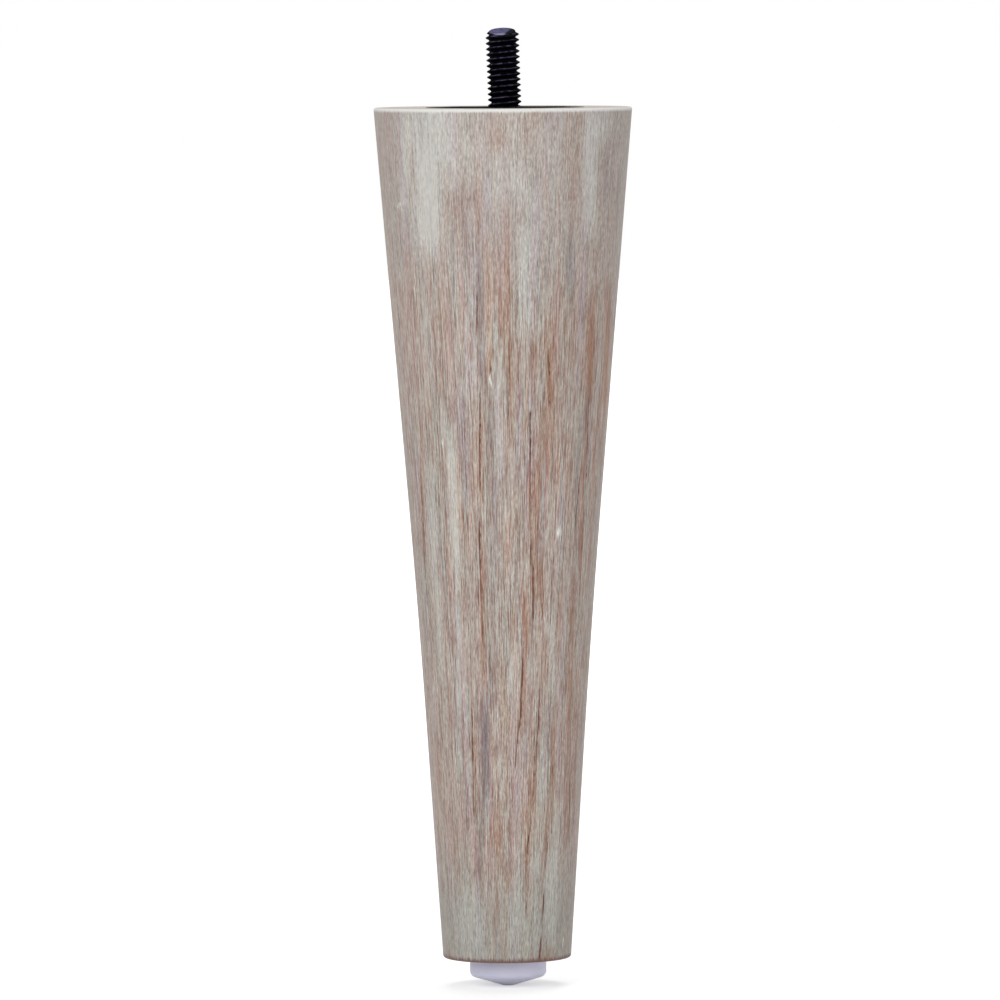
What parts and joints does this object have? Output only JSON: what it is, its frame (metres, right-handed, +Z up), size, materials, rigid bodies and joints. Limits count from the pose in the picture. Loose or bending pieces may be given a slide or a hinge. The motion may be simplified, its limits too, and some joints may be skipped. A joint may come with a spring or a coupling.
{
  "type": "tapered wooden furniture leg",
  "caption": "Round tapered wooden furniture leg with a whitewashed finish, a threaded steel stud on top and a white plastic glide under the foot.",
  "frame": {"origin": "centre of the top plate, in the leg's top face, where the stud leaves it", "axes": "+Z up along the leg, from the glide to the stud; the front faces -Y"},
  "size_m": [0.0731, 0.0732, 0.2716],
  "materials": {
    "whitewashed_wood": "open-grained wood with a matt white wash rubbed into it",
    "black_steel": "black coated pressed steel",
    "black_stud_steel": "black zinc coated thread with a dull sheen",
    "black_screw_steel": "black coated screw",
    "white_plastic": "moulded white nylon, slightly milky",
    "nail_steel": "plain drawn steel"
  },
  "bodies": {
    "root": {"leg_body": "whitewashed_wood", "top_plate": "black_steel", "stud": "black_stud_steel", "plate_screw_1": "black_screw_steel", "plate_screw_2": "black_screw_steel", "plate_screw_3": "black_screw_steel", "glide_pad": "white_plastic", "glide_nail": "nail_steel"}
  },
  "joints": []
}
